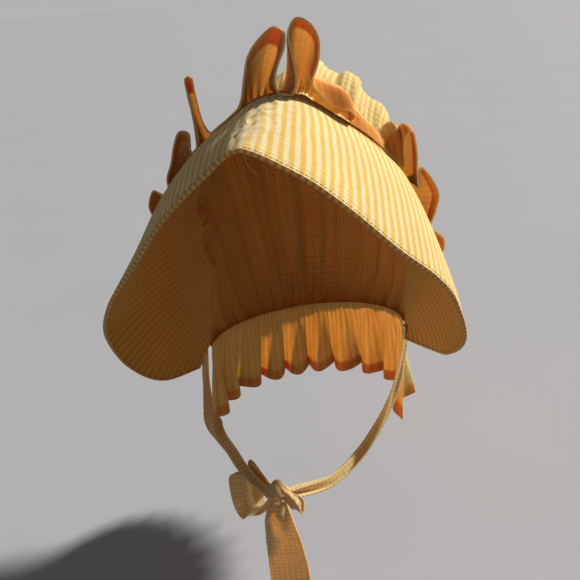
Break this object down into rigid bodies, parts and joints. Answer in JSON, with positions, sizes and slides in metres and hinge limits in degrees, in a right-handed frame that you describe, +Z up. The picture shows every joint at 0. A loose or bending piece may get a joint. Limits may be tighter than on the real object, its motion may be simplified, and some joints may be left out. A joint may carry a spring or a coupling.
{
  "type": "prairie bonnet",
  "caption": "Gingham prairie bonnet with a flared brim, a standing gathered ruffle, a puffed crown, a neck ruffle and tied chin ribbons, held as worn.",
  "frame": {"origin": "head seat: where the top of the head sits, in the hollow under the crown and behind the brim's peak", "axes": "+Z up along the worn head, -Y out of the face opening, +X to the viewer's right"},
  "size_m": [0.2141, 0.2385, 0.3635],
  "materials": {
    "brim_cloth": "matte woven cotton gingham",
    "crown_cloth": "matte woven cotton gingham",
    "ruffle_cloth": "matte woven cotton gingham",
    "neck_cloth": "matte woven cotton gingham",
    "tie_cloth": "matte woven cotton gingham"
  },
  "bodies": {
    "root": {"brim": "brim_cloth", "crown": "crown_cloth", "ruffle": "ruffle_cloth", "neck_ruffle": "neck_cloth", "tie_right": "tie_cloth", "tie_left": "tie_cloth", "tie_loop": "tie_cloth", "tie_long_end": "tie_cloth", "tie_short_end": "tie_cloth", "tie_knot": "tie_cloth"}
  },
  "joints": []
}
